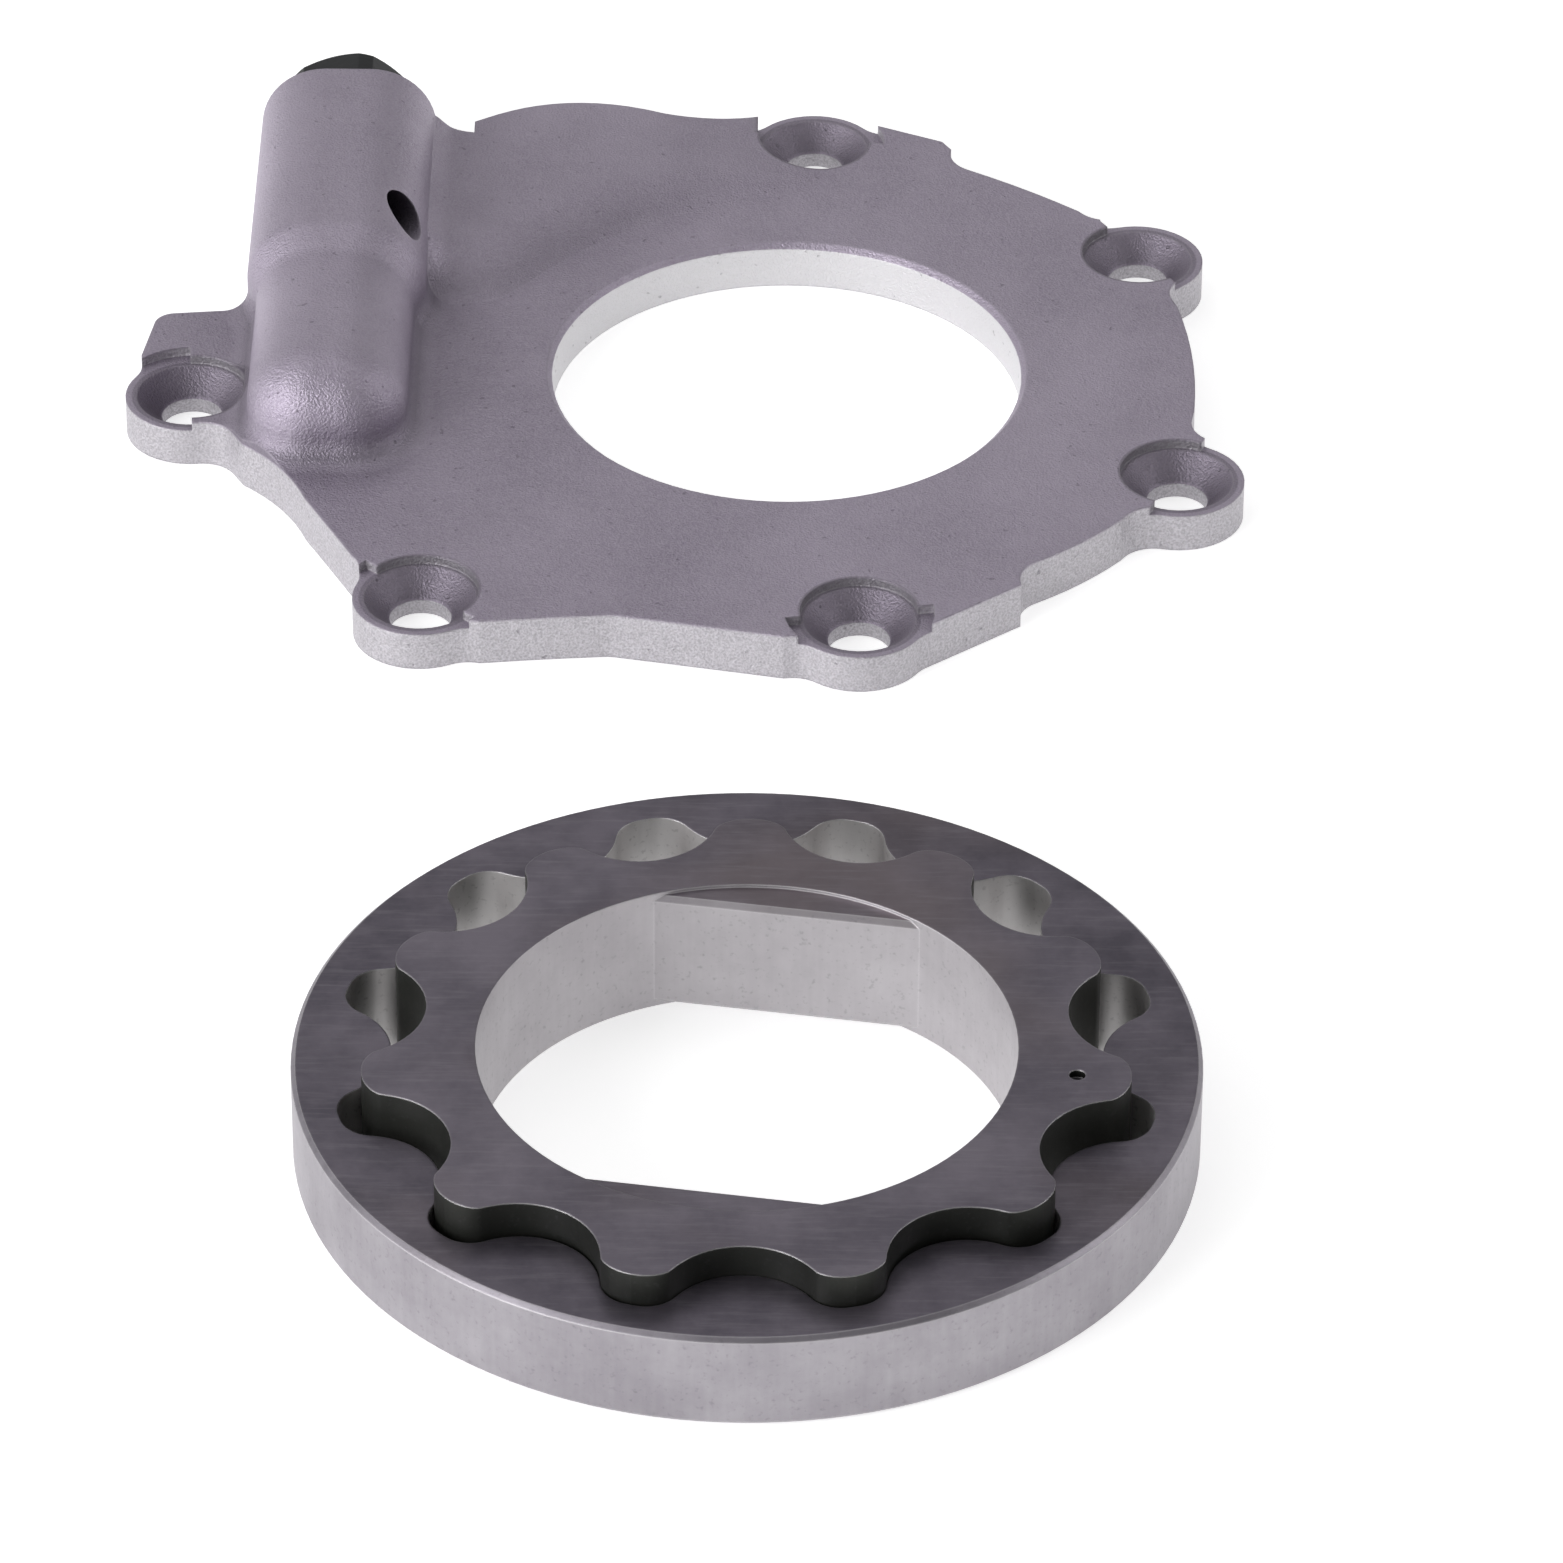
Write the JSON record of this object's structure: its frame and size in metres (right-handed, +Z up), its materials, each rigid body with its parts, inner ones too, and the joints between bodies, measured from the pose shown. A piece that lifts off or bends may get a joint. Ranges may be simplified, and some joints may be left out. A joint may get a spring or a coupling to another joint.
{
  "type": "engine oil pump",
  "caption": "Crank-driven gerotor oil pump kit: a cast cover plate with a pressure relief valve, and a lobed inner rotor inside a toothed outer rotor, laid side by side.",
  "frame": {"origin": "centre of the cover's bore, on the cover's underside; the plane the pieces lie on", "axes": "+Z up out of the cover's outer face, +Y along the relief valve's tube towards its plug, +X to the right; the rotor set lies towards -Y"},
  "size_m": [0.1573, 0.2986, 0.022],
  "materials": {
    "cast_aluminium": "blasted, slightly purple grey",
    "sintered_steel": "oiled, brushed faces",
    "black_steel": "black, satin",
    "bright_steel": "ground",
    "spring_steel": "drawn wire",
    "seal_aluminium": "bare"
  },
  "bodies": {
    "cover": {"cover_plate": "cast_aluminium", "relief_plug": "black_steel", "plug_seal": "seal_aluminium", "spring_shim": "bright_steel", "relief_spring": "spring_steel"},
    "outer_rotor": {"outer_rotor": "sintered_steel"},
    "inner_rotor": {"inner_rotor": "sintered_steel"},
    "relief_piston": {"relief_piston": "bright_steel"}
  },
  "joints": [
    {"name": "inner_spin", "type": "hinge", "parent": "cover", "child": "inner_rotor", "pos_m": [-0.004, -0.17354, 0], "axis": [0, 0, 1], "continuous": true},
    {"name": "outer_spin", "type": "hinge", "parent": "cover", "child": "outer_rotor", "pos_m": [-0.004, -0.16974, 0], "axis": [0, 0, 1], "continuous": true},
    {"name": "relief_slide", "type": "slide", "parent": "cover", "child": "relief_piston", "axis": [0, 1, 0], "range_m": [0, 0.012], "stiffness_N_per_m": 400, "springref_m": -0.002, "deforming": ["relief_spring"]}
  ],
  "couplings": [
    {"joint": "outer_spin", "follows": "inner_spin", "ratio": 0.91667}
  ]
}
